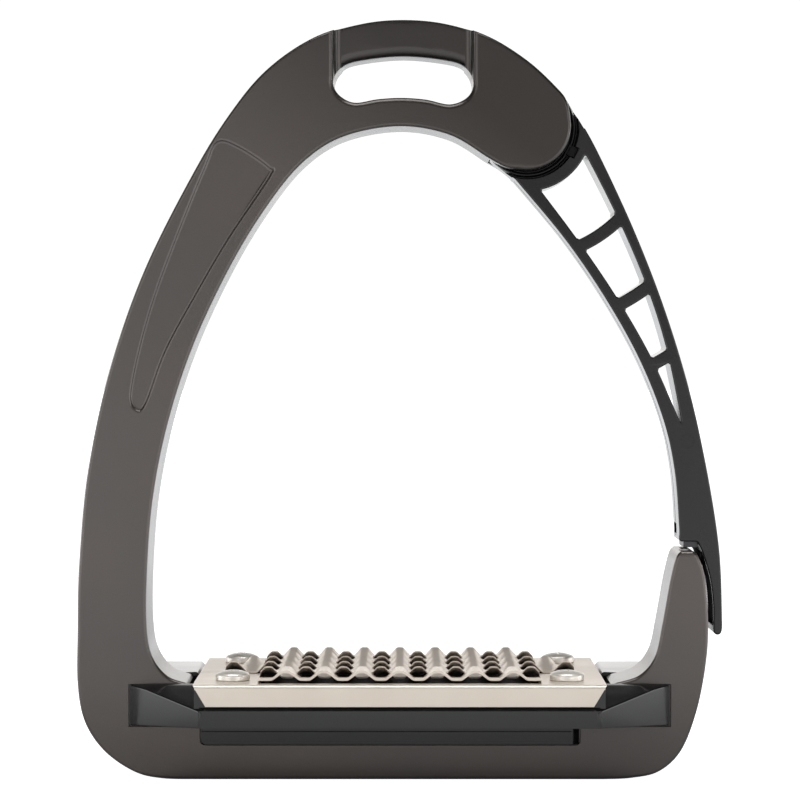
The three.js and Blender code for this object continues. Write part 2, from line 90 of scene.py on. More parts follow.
FILLET = 0.8
RIM = 1.3
CHANNEL = 3.0
CHANNEL_X = (-15.2, 16.8)
WINDOW_CORNER = 0.4
KEY_ANGLE = -0.494

# ---------------------------------------------------------------- outlines in X and Z


def spline(points, per=10, closed=False):
    """A Catmull-Rom curve through the points."""
    count = len(points)
    result = []
    for i in range(count if closed else count - 1):
        p1, p2 = Vector(points[i]), Vector(points[(i + 1) % count])
        p0 = Vector(points[i - 1]) if closed or i > 0 else p1
        p3 = Vector(points[(i + 2) % count]) if closed or i < count - 2 else p2
        a, b = (p2 - p0) / 2, (p3 - p1) / 2
        for k in range(per):
            t = k / per
            bend = (2 * p1 - 2 * p2 + a + b) * t**3 + (3 * p2 - 3 * p1 - 2 * a - b) * t * t
            result.append(bend + a * t + p1)
    if not closed:
        result.append(Vector(points[-1]))
    return [tuple(p) for p in result]


def arc(centre, radius, start, end, steps=24):
    """Points on a circle between two angles in radians."""
    angles = (start + (end - start) * i / steps for i in range(steps + 1))
    return [(centre[0] + radius * math.cos(a), centre[1] + radius * math.sin(a)) for a in angles]


def distinct(points, least=0.02):
    """The outline without points that sit on each other."""
    return [p for i, p in enumerate(points) if math.dist(p, points[i - 1]) > least]


def curve_through(start, control, end, steps=8):
    """A quadratic curve that leaves and arrives along the lines to its control point."""
    start, control, end = Vector(start), Vector(control), Vector(end)
    result = []
    for k in range(steps + 1):
        t = k / steps
        result.append(tuple(start * (1 - t) ** 2 + control * 2 * t * (1 - t) + end * t * t))
    return result


def rounded(points, radius, steps=5):
    """The polygon with its corners cut by small curves."""
    result = []
    for i, corner in enumerate(points):
        corner = Vector(corner)
        before = Vector(points[i - 1]) - corner
        after = Vector(points[(i + 1) % len(points)]) - corner
        r = min(radius, before.length * 0.45, after.length * 0.45)
        a, b = corner + before.normalized() * r, corner + after.normalized() * r
        result += curve_through(a, corner, b, steps)
    return result


def on_circle(radius, angle):
    """A point on a circle about the hinge."""
    return (PIVOT[0] + radius * math.cos(angle), PIVOT[1] + radius * math.sin(angle))


def frame_outline():
    """Round the casting: left branch, crown, the hinge's lobe, arch, shelf with its slot, and the post."""
    lobe_start, lobe_end = 0.12, -1.75
    left = [(-47, 0), (-54.8, 0.2), (-61.2, 1.7), (-68.1, 6.4), (-72.7, 13.2), (-74.4, 22), (-74.4, 34),
            (-74, 50), (-71.9, 71.4), (-66.9, 94.5), (-58.8, 117.6), (-47.1, 140.7)]
    crown = [(-38.4, 154.5), (-30.3, 163.9), (-20, 170.9), (-9.2, 174.3), (0.5, 175.3), (10.5, 174.4),
             (20.5, 171.2), (29.5, 165.6), (36.3, 159.3), (38.5, 156.2), on_circle(LOBE_R, lobe_start)]
    arch = [on_circle(LOBE_R, lobe_end), (24.5, 141.2), (20.6, 143.2), (11.5, 148.6), (0, 150.6),
            (-12.5, 148.4), (-21.5, 143)]
    inner = [(-29.3, 134), (-38.2, 119.9), (-47.1, 101.4), (-53.3, 82.9), (-57, 64.5), (-58.4, 46),
             (-58.3, 34), (-56.9, 28), (-53.6, 23.9), (-49.5, SHELF_Z)]
    brink = SHELF_Z - 0.6
    slot = [(-SLOT_X, brink), (-SLOT_X, BEAM_TOP), (SLOT_X, BEAM_TOP), (SLOT_X, brink)]
    inner_post = [(50, SHELF_Z), (55.3, 24.1), (58.9, 28.5), (60.6, 36), (62.3, 45.5), (63.7, 51.2),
                  (64.8, POST_TOP)]
    outer_post = [(67.6, POST_TOP), (68.8, 51.6), (70.4, 46.8), (71.2, 36), (70.7, 27), (68.6, 16),
                  (65, 6.7), (59.8, 1.8), (53.4, 0.3), (47, 0)]
    points = spline(left + crown) + arc(PIVOT, LOBE_R, lobe_start, lobe_end, 30)
    points += spline(arch + inner) + slot + spline(inner_post) + spline(outer_post)
    return distinct(points)


def eye_outline():
    """The eye for the leather, wide and low, its lower edge rising in the middle."""
    over = [(-15.3, 161), (-13.9, 163.9), (-10.2, 165.8), (0.8, 167), (12, 165.8), (15.6, 163.8)]
    under = [(16.9, 160.6), (15.6, 157.4), (11.6, 155.7), (6, 156.8), (0.5, 157.2), (-5, 156.9),
             (-10.5, 156.1), (-14.1, 158)]
    return spline(over + under, 8, True)


def branch_pocket_outline():
    """The long tapering pocket in the face of the left branch."""
    inner = [(-42, 147), (-37, 145.8), (-30.2, 141.2), (-29.9, 139), (-39.3, 125), (-46.6, 112.6),
             (-53.9, 99.2), (-58.4, 87.2)]
    outer = [(-60.5, 85.3), (-62, 88.6), (-60, 99.2), (-56.1, 112.6), (-49.9, 128.9), (-44.9, 141)]
    return spline(inner + outer, 8, True)


OUTER_EDGE = [(40, 154.8), (45.4, 145.5), (54.1, 126.9), (61.3, 108.4), (67, 89.8), (71.1, 71.3),
              (74, 52.7), (74.7, 36)]
INNER_EDGE = [(64.6, NOTCH_Z + 0.9), (64.6, 58.5), (63.6, 71), (61, 82.9), (55.5, 96.8), (47.7, 110.8),
              (38.2, 124.7), (26.7, 138.5)]


def arm_outline():
    """Round the arm: outer edge, the blade beside the post, the notch over it, inner edge and hub."""
    points = spline(OUTER_EDGE) + curve_through((74.7, 36), (74.8, 33.2), (73.7, 33.2))
    points += curve_through((73.7, 33.2), (72.6, 33.2), (72.6, 34.6))
    points += spline([(72.6, 34.6), (72.6, 40), (71.9, 46), (70.2, 51.9), (69.2, 54.2)])
    points += curve_through((69.2, 54.2), (69, NOTCH_Z), (68.3, NOTCH_Z))
    points += curve_through((65.5, NOTCH_Z), (64.6, NOTCH_Z), (64.6, NOTCH_Z + 0.9))
    points += spline(INNER_EDGE)
    x, z = INNER_EDGE[-1]
    start = math.atan2(z - PIVOT[1], x - PIVOT[0]) - 0.44
    points += arc(PIVOT, HUB_R, start, 0.45 - 2 * math.pi, 60)
    return distinct(points)


INNER_RAIL = [(29.6, 139.9), (41, 124.8), (50.2, 111.3), (58.2, 97.4), (65, 82.2)]
OUTER_RAIL = [(41.3, 147.4), (49.7, 130.9), (56.5, 115.3), (61.6, 99.6), (65.4, 81.4)]
WINDOW_RINGS = [(14.8, 28.5), (31.5, 44.7), (47.7, 60.6), (63.5, 76.7)]


def rail_point(rail, radius):
    """Where a rail crosses a circle about the hinge."""
    return min(spline(rail, 60), key=lambda p: abs(math.dist(p, PIVOT) - radius))


def rail_angles(radius):
    """The angles at which the inner and the outer rail cross a circle about the hinge."""
    crossings = (rail_point(INNER_RAIL, radius), rail_point(OUTER_RAIL, radius))
    return [math.atan2(z - PIVOT[1], x - PIVOT[0]) for x, z in crossings]


def window_end(radius, start, end):
    """An end of a window: an arc about the hinge that stops short of the corners."""
    trim = WINDOW_CORNER / radius
    if abs(end - start) < 4 * trim:
        return [on_circle(radius, (start + end) / 2)]
    sign = 1 if end > start else -1
    return arc(PIVOT, radius, start + sign * trim, end - sign * trim, 8)


def window_side(rail, start, end):
    """The stretch of a rail between two circles about the hinge."""
    low, high = sorted((start, end))
    points = [rail_point(rail, low + (high - low) * share) for share in (0.03, 0.35, 0.65, 0.97)]
    return points if end > start else points[::-1]


def window_outline(near, far):
    """A window between the rails, from one circle about the hinge to another."""
    near_inner, near_outer = rail_angles(near)
    far_inner, far_outer = rail_angles(far)
    points = window_end(near, near_inner, near_outer) + window_side(OUTER_RAIL, near, far)
    points += window_end(far, far_outer, far_inner) + window_side(INNER_RAIL, far, near)
    return distinct(points)


# ---------------------------------------------------------------- mesh making

scene = bpy.context.scene
collection = scene.collection


def link(name, mesh):
    """A new object in the scene."""
    piece = bpy.data.objects.new(name, mesh)
    collection.objects.link(piece)
    return piece


def baked(piece):
    """The piece with its modifiers applied."""
    depsgraph = bpy.context.evaluated_depsgraph_get()
    depsgraph.update()
    mesh = bpy.data.meshes.new_from_object(piece.evaluated_get(depsgraph))
    name = piece.name
    bpy.data.objects.remove(piece)
    return link(name, mesh)


def plate(name, outline, y0, y1, fillet=0.0, holes=(), steps=4):
    """An outline in X and Z given thickness from y0 to y1, with rounded edges on both faces."""
    curve = bpy.data.curves.new(name, "CURVE")
    curve.dimensions = "2D"
    curve.fill_mode = "BOTH"
    for points in (outline, *holes):
        line = curve.splines.new("POLY")
        line.points.add(len(points) - 1)
        for point, (x, z) in zip(line.points, points):
            point.co = (x, z, 0, 1)
        line.use_cyclic_u = True
    curve.extrude = (y1 - y0) / 2 - fillet
    curve.bevel_depth = fillet
    curve.bevel_resolution = steps
    curve.offset = -fillet
    piece = baked(link(name, curve))
    middle = (y0 + y1) / 2
    piece.data.transform(Matrix(((1, 0, 0, 0), (0, 0, -1, middle), (0, 1, 0, 0), (0, 0, 0, 1))))
    weld(piece)
    return piece


def weld(piece, distance=0.002):
    """Merges vertices that lie on each other."""
    bm = bmesh.new()
    bm.from_mesh(piece.data)
    bmesh.ops.remove_doubles(bm, verts=bm.verts, dist=distance)
    bmesh.ops.recalc_face_normals(bm, faces=bm.faces)
    bm.to_mesh(piece.data)
    bm.free()


def from_bmesh(name, bm):
    """An object made of the faces built so far, all facing outwards."""
    mesh = bpy.data.meshes.new(name)
    bmesh.ops.recalc_face_normals(bm, faces=bm.faces)
    bm.to_mesh(mesh)
    bm.free()
    return link(name, mesh)


def column(name, outline, z0, z1):
    """An outline in X and Y raised from z0 to z1."""
    bm = bmesh.new()
    low = [bm.verts.new((x, y, z0)) for x, y in outline]
    high = [bm.verts.new((x, y, z1)) for x, y in outline]
    bm.faces.new(low[::-1])
    bm.faces.new(high)
    for i in range(len(low)):
        j = (i + 1) % len(low)
        bm.faces.new((low[i], low[j], high[j], high[i]))
    return from_bmesh(name, bm)


def block(name, x0, x1, y0, y1, z0, z1):
    """A box between three pairs of limits."""
    return column(name, [(x0, y0), (x1, y0), (x1, y1), (x0, y1)], z0, z1)


def grown(outline, distance):
    """The closed outline moved outwards by a distance."""
    area = sum(a[0] * b[1] - b[0] * a[1] for a, b in zip(outline, outline[1:] + outline[:1]))
    turn = 1 if area > 0 else -1
    result = []
    for i, (x, z) in enumerate(outline):
        along = (Vector(outline[(i + 1) % len(outline)]) - Vector(outline[i - 1])).normalized() * turn
        result.append((x + along.y * distance, z - along.x * distance))
    return result


def hollow(name, outline, profile):
    """A cutter sunk in the front face: the profile lists how far it spreads at each depth."""
    bm = bmesh.new()
    rings = []
    for spread, depth in [(profile[0][0], -1.0), *profile]:
        rings.append([bm.verts.new((x, depth - FACE, z)) for x, z in grown(outline, spread)])
    bm.faces.new(rings[0])
    bm.faces.new(rings[-1][::-1])
    for a, b in zip(rings, rings[1:]):
        for i in range(len(a)):
            j = (i + 1) % len(a)
            bm.faces.new((a[i], a[j], b[j], b[i]))
    return from_bmesh(name, bm)


def rim(width, height, steps=6):
    """The profile of a rounded rim."""
    angles = [math.pi / 2 * k / steps for k in range(steps + 1)]
    return [(width * (1 - math.sin(a)), height * (1 - math.cos(a))) for a in angles]


def rod(name, x, z, radius, y0, y1, segments=96):
    """A round bar along Y."""
    piece = column(name, arc((0, 0), radius, 0, 2 * math.pi * (1 - 1 / segments), segments - 1), y0, y1)
    piece.data.transform(Matrix(((1, 0, 0, x), (0, 0, 1, 0), (0, -1, 0, z), (0, 0, 0, 1))))
    return piece


def post(name, x, y, radius, z0, z1, segments=64):
    """A round bar along Z."""
    return column(name, arc((x, y), radius, 0, 2 * math.pi * (1 - 1 / segments), segments - 1), z0, z1)


def hull(name, points):
    """The smallest convex solid round the points."""
    bm = bmesh.new()
    for p in points:
        bm.verts.new(p)
    made = bmesh.ops.convex_hull(bm, input=bm.verts)
    inside = [v for v in made["geom_interior"] if isinstance(v, bmesh.types.BMVert)]
    bmesh.ops.delete(bm, geom=inside, context="VERTS")
    bmesh.ops.dissolve_limit(bm, angle_limit=math.radians(1), verts=bm.verts, edges=bm.edges)
    return from_bmesh(name, bm)


def combine(piece, others, operation):
    """The piece after one boolean with each of the others, which are used up."""
    for other in others:
        modifier = piece.modifiers.new("combine", "BOOLEAN")
        modifier.operation = operation
        modifier.solver = "EXACT"
        modifier.object = other
    piece = baked(piece)
    for other in others:
        bpy.data.objects.remove(other)
    return piece


def cut(piece, *others):
    """The piece without the others."""
    return combine(piece, others, "DIFFERENCE")


def join(piece, *others):
    """The piece and the others as one solid."""
    return combine(piece, others, "UNION")


def mirrored(piece, axis):
    """A copy on the other side of the plane through the origin."""
    mesh = piece.data.copy()
    scale = [1, 1, 1]
    scale[axis] = -1
    mesh.transform(Matrix.Diagonal((*scale, 1)))
    mesh.flip_normals()
    return link(piece.name, mesh)


def with_mirror(piece, axis):
    """The piece and its copy on the other side."""
    return [piece, mirrored(piece, axis)]


def soften(piece, width, segments=2, angle=40, where=None):
    """Small rounded edges where faces meet more sharply than the angle."""
    bm = bmesh.new()
    bm.from_mesh(piece.data)
    bmesh.ops.remove_doubles(bm, verts=bm.verts, dist=0.004)
    bmesh.ops.dissolve_degenerate(bm, edges=bm.edges, dist=0.004)
    limit = math.radians(angle)
    edges = [e for e in bm.edges if len(e.link_faces) == 2 and e.calc_face_angle(0) > limit]
    if where:
        edges = [e for e in edges if where((e.verts[0].co + e.verts[1].co) / 2)]
    bmesh.ops.bevel(bm, geom=edges, offset=width, segments=segments, profile=0.5, affect="EDGES",
                    clamp_overlap=True)
    bm.to_mesh(piece.data)
    bm.free()
    return piece


def finish_piece(piece, name, body, nodes, material, angle=32):
    """Scales a piece to metres, smooths it, and ties it to the frame."""
    piece.name = name
    piece.data.name = name
    piece.data.transform(Matrix.Scale(MM, 4))
    mesh = piece.data
    mesh.shade_smooth()
    mesh.set_sharp_from_angle(angle=math.radians(angle))
    modifier = piece.modifiers.new("even_shading", "WEIGHTED_NORMAL")
    modifier.keep_sharp = True
    modifier.weight = 90
    mesh.materials.clear()
    mesh.materials.append(material)
    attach(piece, body)
    if nodes:
        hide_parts(*nodes)
    return piece


# ---------------------------------------------------------------- materials


class Nodes:
    """A short way to write a material's node tree."""

    def __init__(self, name):
        self.material = bpy.data.materials.new(name)
        self.material.use_nodes = True
        self.tree = self.material.node_tree
        self.tree.nodes.clear()
        self.shader = self.add("ShaderNodeBsdfPrincipled")
        output = self.add("ShaderNodeOutputMaterial")
        self.join(self.shader.outputs[0], output.inputs["Surface"])
        self.place = self.add("ShaderNodeTexCoord").outputs["Object"]

    def add(self, kind, **values):
        """A node with some of its settings."""
        node = self.tree.nodes.new(kind)
        for key, value in values.items():
            setattr(node, key, value)
        return node

    def join(self, a, b):
        self.tree.links.new(a, b)

    def noise(self, scale, detail=3, rough=0.5, stretch=None):
        """Noise through the object, from 0 to 1, its scale per metre."""
        source = self.place
        if stretch:
            mapping = self.add("ShaderNodeMapping")
            mapping.inputs["Scale"].default_value = stretch
            self.join(source, mapping.inputs["Vector"])
            source = mapping.outputs[0]
        node = self.add("ShaderNodeTexNoise")
        node.inputs["Scale"].default_value = scale
        node.inputs["Detail"].default_value = detail
        node.inputs["Roughness"].default_value = rough
        self.join(source, node.inputs["Vector"])
        return node.outputs["Fac"]

    def spread(self, value, low, high, start=0.3, end=0.7):
        """The value between start and end, spread from low to high."""
        node = self.add("ShaderNodeMapRange")
        node.inputs["From Min"].default_value = start
        node.inputs["From Max"].default_value = end
        node.inputs["To Min"].default_value = low
        node.inputs["To Max"].default_value = high
        self.join(value, node.inputs["Value"])
        return node.outputs["Result"]

    def ramp(self, value, stops):
        """A colour for each value, blended between the stops."""
        node = self.add("ShaderNodeValToRGB")
        elements = node.color_ramp.elements
        while len(elements) < len(stops):
            elements.new(0.5)
        for element, (position, colour) in zip(elements, stops):
            element.position = position
            element.color = (*colour, 1)
        self.join(value, node.inputs["Fac"])
        return node.outputs["Color"]

    def combine(self, operation, a, b):
        """The result of a calculation with two values, each a socket or a number."""
        node = self.add("ShaderNodeMath", operation=operation)
        for socket, value in zip(node.inputs, (a, b)):
            if isinstance(value, (int, float)):
                socket.default_value = value
            else:
                self.join(value, socket)
        return node.outputs[0]

    def slope(self, direction, start, end):
        """From 0 to 1 between two distances along a direction through the object."""
        node = self.add("ShaderNodeVectorMath", operation="DOT_PRODUCT")
        node.inputs[1].default_value = direction
        self.join(self.place, node.inputs[0])
        return self.spread(node.outputs["Value"], 0, 1, start, end)

    def bump(self, height, distance, strength=1.0):
        """Fine relief on the surface, its distance in metres."""
        node = self.add("ShaderNodeBump")
        node.inputs["Distance"].default_value = distance
        node.inputs["Strength"].default_value = strength
        self.join(height, node.inputs["Height"])
        self.join(node.outputs[0], self.shader.inputs["Normal"])

    def set(self, **values):
        """The shader's inputs, each from a socket or a plain value."""
        for key, value in values.items():
            socket = self.shader.inputs[key.replace("_", " ")]
            if isinstance(value, bpy.types.NodeSocket):
                self.join(value, socket)
            else:
                socket.default_value = value


def anodised_metal():
    """Bead-blasted and anodised, sealed with a thin clear layer; a little darker round the hinge, where
    shade is painted into its colour.
    """
    n = Nodes("anodised_metal")
    clouds = n.noise(28, 4)
    specks = n.noise(2600, 2)
    colour = n.ramp(clouds, [(0.35, (0.096, 0.082, 0.075)), (0.65, (0.086, 0.077, 0.073))])
    # painted shade: the colour darkens towards the hinge lobe to stand in for light falling off there
    painted_hinge_shade = n.ramp(n.slope((0.6, 0, 0.8), 0.095, 0.135), [(0, (1, 1, 1)), (1, (0.45, 0.45, 0.45))])
    mix = n.add("ShaderNodeMix", data_type="RGBA", blend_type="MULTIPLY")
    mix.inputs["Factor"].default_value = 1
    n.join(colour, mix.inputs["A"])
    n.join(painted_hinge_shade, mix.inputs["B"])
    rough = n.combine("ADD", n.spread(clouds, 0.33, 0.39), n.spread(specks, -0.03, 0.03))
    n.set(Base_Color=mix.outputs["Result"], Metallic=0.8, Roughness=rough)
    n.set(Coat_Weight=0.4, Coat_Roughness=0.12)
    n.bump(specks, 0.000012)
    return n.material


def moulded_nylon():
    """The arm's glossy black, faintly clouded."""
    n = Nodes("moulded_nylon")
    clouds = n.noise(60, 3)
    grain = n.noise(1800, 3)
    colour = n.ramp(clouds, [(0.3, (0.010, 0.009, 0.0095)), (0.7, (0.014, 0.0125, 0.013))])
    n.set(Base_Color=colour, Roughness=n.spread(clouds, 0.14, 0.2), Specular_IOR_Level=0.4)
    n.bump(grain, 0.000006)
    return n.material


def holder_plastic():
    """The tread base's deeper black, polished and lightly scuffed along its length."""
    n = Nodes("holder_plastic")
    clouds = n.noise(45, 3)
    scuffs = n.noise(160, 4, stretch=(0.25, 1, 1))
    colour = n.ramp(clouds, [(0.3, (0.006, 0.006, 0.0063)), (0.7, (0.009, 0.009, 0.0094))])
    rough = n.combine("ADD", n.spread(scuffs, 0.1, 0.17), n.spread(clouds, -0.02, 0.02))
    n.set(Base_Color=colour, Roughness=rough)
    n.bump(n.noise(700, 2), 0.000006)
    return n.material


def rubber():
    """Dull black with a fine grain, for the inlay and the key."""
    n = Nodes("rubber")
    grain = n.noise(1500, 4)
    colour = n.ramp(grain, [(0.3, (0.003, 0.003, 0.003)), (0.7, (0.006, 0.006, 0.006))])
    n.set(Base_Color=colour, Roughness=n.spread(grain, 0.55, 0.75), Specular_IOR_Level=0.15)
    n.bump(grain, 0.00003)
    return n.material


def satin_sheet():
    """The tread's brushed steel, partly matt."""
    n = Nodes("satin_sheet")
    brush = n.noise(900, 3, stretch=(0.06, 1, 1))
    blotch = n.noise(90, 4)
    pits = n.noise(1900, 2)
    colour = n.ramp(blotch, [(0.3, (0.72, 0.64, 0.555)), (0.7, (0.77, 0.695, 0.61))])
    rough = n.combine("ADD", n.spread(brush, 0.34, 0.42), n.spread(blotch, -0.03, 0.03))
    n.set(Base_Color=colour, Metallic=0.5, Roughness=rough)
    n.bump(n.combine("ADD", brush, pits), 0.000012)
    return n.material


def screw_steel():
    """A paler steel for the screws."""
    n = Nodes("screw_steel")
    blotch = n.noise(500, 3)
    colour = n.ramp(blotch, [(0.3, (0.8, 0.76, 0.7)), (0.7, (0.86, 0.83, 0.78))])
    n.set(Base_Color=colour, Metallic=0.6, Roughness=n.spread(blotch, 0.36, 0.46))
    n.bump(n.noise(1400, 2), 0.00001)
    return n.material


def brass(name, light, dark):
    """A yellow metal between two tones."""
    n = Nodes(name)
    grain = n.noise(700, 3)
    colour = n.ramp(grain, [(0.3, dark), (0.7, light)])
    n.set(Base_Color=colour, Metallic=1.0, Roughness=n.spread(grain, 0.28, 0.42))
    n.bump(grain, 0.00001)
    return n.material


def plated_magnet():
    """The magnets' dark plating."""
    n = Nodes("plated_magnet")
    brush = n.noise(800, 3, stretch=(1, 1, 0.1))
    colour = n.ramp(brush, [(0.3, (0.05, 0.05, 0.055)), (0.7, (0.08, 0.08, 0.085))])
    n.set(Base_Color=colour, Metallic=0.7, Roughness=n.spread(brush, 0.3, 0.45))
    n.bump(brush, 0.00001)
    return n.material


# ---------------------------------------------------------------- pieces


def leather_channels():
    """Cutters for the channels beside the bar: rounded brinks, then side walls curving into the floor."""
    x0, x1 = CHANNEL_X
    curl = CHANNEL - RIM
    right = arc((x1 + RIM, -FACE + RIM), RIM, -math.pi / 2, -math.pi, 8)
    right += arc((x1 - curl, -FACE + RIM), curl, 0, math.pi / 2, 8)
    left = [(x0 + x1 - x, y) for x, y in reversed(right)]
    outline = [(x0 - RIM, -FACE - 1), (x1 + RIM, -FACE - 1)] + distinct(right + left)
    return with_mirror(column("channel", outline, 160.8, 178), 1)


def bar_surround():
    """A cutter that leaves the leather bar with its lower edges rolled."""
    curl, half = CHANNEL - RIM, FACE - CHANNEL
    above = 1.4
    crown = [(x, z + above) for x, z in frame_outline() if abs(x) < 19 and z > 168]
    crown.sort(key=lambda p: -p[0])
    under = sorted((p for p in eye_outline() if p[1] > 163.6))
    outline = crown + [(-19, 165), (-15, 163.4)] + under + [(16.6, 163.4), (19, 165)]
    bar = plate("bar", outline, -half, half, 2.2)
    x0, x1 = CHANNEL_X[0] + curl, CHANNEL_X[1] - curl
    return cut(block("surround", x0, x1, -FACE - 2, FACE + 2, 162, 180), bar)


def face_pockets():
    """Cutters for the seats of the fairings and of the holder's lower rib, in both faces."""
    fairing = block("pocket", FAIRING_END, FAIRING_X + 0.3, -FACE - 1, -FACE + 1.2, 12.2, SHELF_Z - 0.2)
    outline = rounded([(-46.2, 7.9), (41.8, 7.9), (41.8, 15), (-46.2, 15)], 1.5)
    rib = plate("pocket", outline, -FACE - 1, -FACE + 1.8)
    front = with_mirror(fairing, 0) + [rib]
    return front + [mirrored(p, 1) for p in front]


def pocket_profile(width, depth):
    """A wall that rounds over at the face and curves out into the floor."""
    over = rim(width, depth / 2)
    return over + [(-spread, depth - down) for spread, down in reversed(over[:-1])]


def hinge_space():
    """Cutters for the fork that takes the arm's hub, and the bore and counterbore of the hinge screw."""
    fork = cut(rod("fork", *PIVOT, FORK_R, -FORK_Y, FORK_Y, 128),
               block("low", 0, PIVOT[0] - 5, -FORK_Y - 1, FORK_Y + 1, 130, 147))
    return [fork, rod("fork", *PIVOT, HUB_R + 0.3, -FORK_Y - 0.01, FORK_Y + 0.01, 128),
            rod("bore", *PIVOT, 2.6, -FACE + 1.3, FACE + 1),
            rod("bore", *PIVOT, 4.8, FACE - 2.4, FACE + 1)]


def base_holes():
    """Cutters under the tread: room for each boss of the holder, a screw's shank and its sunk head."""
    holes = []
    for x in (-BASE_SCREW_X, BASE_SCREW_X):
        boss = post("hole", x, 0, 4.9, 13.7, 21)
        shank = post("hole", x, 0, SCREW_HOLE_R, -1, 15)
        head = post("hole", x, 0, 4.1, -1, 3.2)
        holes += [boss, shank, head]
    return holes


def make_frame(material):
    """The aluminium casting with its eye, pockets, fork and holes."""
    piece = plate("frame_casting", frame_outline(), -FACE, FACE, FILLET)
    eye = hollow("eye", eye_outline(), rim(RIM, RIM) + [(0, FACE + 0.5)])
    branch = hollow("pocket", branch_pocket_outline(), pocket_profile(0.6, 0.6))
    magnet = block("hole", MAGNET_X[0] - 0.1, MAGNET_X[1] - 0.9, -MAGNET_Y - 0.1, MAGNET_Y + 0.1, 47, 60)
    piece = cut(piece, *leather_channels(), *with_mirror(eye, 1), bar_surround(), *with_mirror(branch, 1),
                *face_pockets(), *hinge_space(), *base_holes(), magnet)
    return finish_piece(piece, "frame_casting", FRAME_BODY, ["frame"], material)


def make_arm(material):
    """The release arm: thinned round the hinge, pierced by its windows, hollowed beside the post."""
    windows = [window_outline(*radii) for radii in WINDOW_RINGS]
    piece = plate("arm_moulding", arm_outline(), -ARM_Y, ARM_Y, 0.4, windows)
    ring = rod("relief", *PIVOT, SHOULDER_R, -ARM_Y - 1, -HUB_Y, 128)
    above = block("relief", PIVOT[0], PIVOT[0] + 20, -ARM_Y - 1, -HUB_Y, PIVOT[1] - 0.3, PIVOT[1] + 12)
    notch = key_block("notch", 10.6, 13, 1.4, -ARM_Y - 1, -3.2)
    bore = rod("bore", *PIVOT, BUSHING_R, -8, 8)
    magnet = block("hole", MAGNET_X[0] - 0.1, MAGNET_X[1] + 0.1, -MAGNET_Y - 0.1, MAGNET_Y + 0.1, 50, 58.1)
    slot = block("slot", 62, 65.4, -0.2, 5.2, 56.3, 58.7)
    mark = rod("mark", 66.5, 78.2, 1.6, -ARM_Y - 1, -ARM_Y + 0.2, 48)
    piece = cut(piece, *with_mirror(ring, 1), *with_mirror(above, 1), *hub_grooves(), notch, bore, magnet,
                slot, blade_groove(), edge_groove(), *with_mirror(mark, 1))
    piece = join(piece, rear_lip())
    return finish_piece(piece, "arm_moulding", ARM_BODY, ["release_arm"], material)


def hub_grooves():
    """Two rings with slanting sides sunk in each face of the hub."""
    def frustum(radius, middle, depth):
        points = []
        for r, y in ((radius, -HUB_Y - 0.02), (middle, -HUB_Y + depth)):
            points += [(x, y, z) for x, z in arc(PIVOT, r, 0, 2 * math.pi, 96)]
        return hull("groove", points)

    grooves = []
    for inner, outer in ((9.6, 10.85), (11.05, SHOULDER_R)):
        middle = (inner + outer) / 2
        groove = cut(frustum(outer, middle + 0.03, 1.2), frustum(inner, middle - 0.03, 1.3))
        grooves += with_mirror(groove, 1)
    return grooves


def blade_groove():
    """The blade is hollowed along the side that faces the post."""
    edge = spline([(73.6, 35.2), (73.6, 40), (72.9, 46), (71.3, 51.5), (70.8, 52.4)])
    return plate("groove", [(66, 52.4), (69, 35.2)] + edge, -5.6, 5.6)


def rear_lip():
    """A thin lip along the back of the blade's hollow, close over the shoulder of the post."""
    edge = spline([(67.8, 53.4), (68.8, 52.7), (69.4, 51.6), (70.4, 48.5)])
    return plate("lip", edge + [(72.4, 48.5), (70.6, 54), (69.4, 55.2), (67.8, 55.2)], 5.6, ARM_Y)


def edge_groove():
    """The fine parting groove along the arm's inner edge."""
    edge = spline(INNER_EDGE)
    band = [(x - 2, z) for x, z in edge] + [(x + 0.25, z) for x, z in reversed(edge)]
    return plate("groove", band, 0.9, 1.7)


def key_block(name, inner, outer, half, y0, y1):
    """A block on the ring about the hinge, where the stop key sits."""
    piece = block(name, inner, outer, y0, y1, -half, half)
    turn = Matrix.Rotation(-KEY_ANGLE, 4, "Y")
    piece.data.transform(Matrix.Translation((PIVOT[0], 0, PIVOT[1])) @ turn)
    return piece


def make_key(material):
    """The small key in the arm's shoulder."""
    piece = soften(key_block("stop_key_block", 10.9, 12.8, 1.2, -5.9, -3.3), 0.25)
    return finish_piece(piece, "stop_key_block", ARM_BODY, ["stop_key"], material)


def fairing_root():
    """What seats a fairing in the pocket of the frame's front face."""
    return block("root", FAIRING_END, FAIRING_X, -FACE - 0.2, -FACE + 0.9, FAIRING_LOW, 21.9)


def front_fairing():
    """In front a fairing tapers from the frame down to the corner of the holder, under a curved ridge."""
    face = -FACE - 0.1
    ridge = spline([(FAIRING_X, 21.9), (58.4, 21.5), (55, 20.6), (50, 19.2), (45, 18.3)], 6)
    slope = (WALL_Y - FACE) / (FAIRING_X - 45)
    points = [(x, face - (FAIRING_X - x) * slope, z) for x, z in ridge]
    back = [(FAIRING_X - 0.5, face, 22.05), (56, face, 22.3), (47.8, face, 22.3)]
    shoulder = [(58, face - 1.6, 22.15), (54, face - 3, 22), (47.6, face - 2.6, 21.95)]
    low = [(FAIRING_X, face, FAIRING_LOW), (FAIRING_END, face, 12.6),
           (45, -WALL_Y, WALL_Z), (FAIRING_END, -WALL_Y, WALL_Z)]
    end = [(FAIRING_END, face, 22.2), (FAIRING_END, -WALL_Y, 18)]
    return hull("fairing", points + back + shoulder + low + end)


def back_fairing():
    """Behind the frame the fairing is wider and its top stays level."""
    face = FACE + 0.1
    near = [(FAIRING_X, face, FAIRING_LOW), (FAIRING_X, face, 22.1), (48.2, face, 22.7),
            (FAIRING_END, face, 12.6), (FAIRING_END, face, 18)]
    far = [(FAIRING_END, WALL_Y, WALL_Z), (FAIRING_END, WALL_Y, 18), (48.2, WALL_Y, 23.2),
           (59, WALL_Y, 23.2), (58, WALL_Y, 14.6)]
    return hull("fairing", near + far)


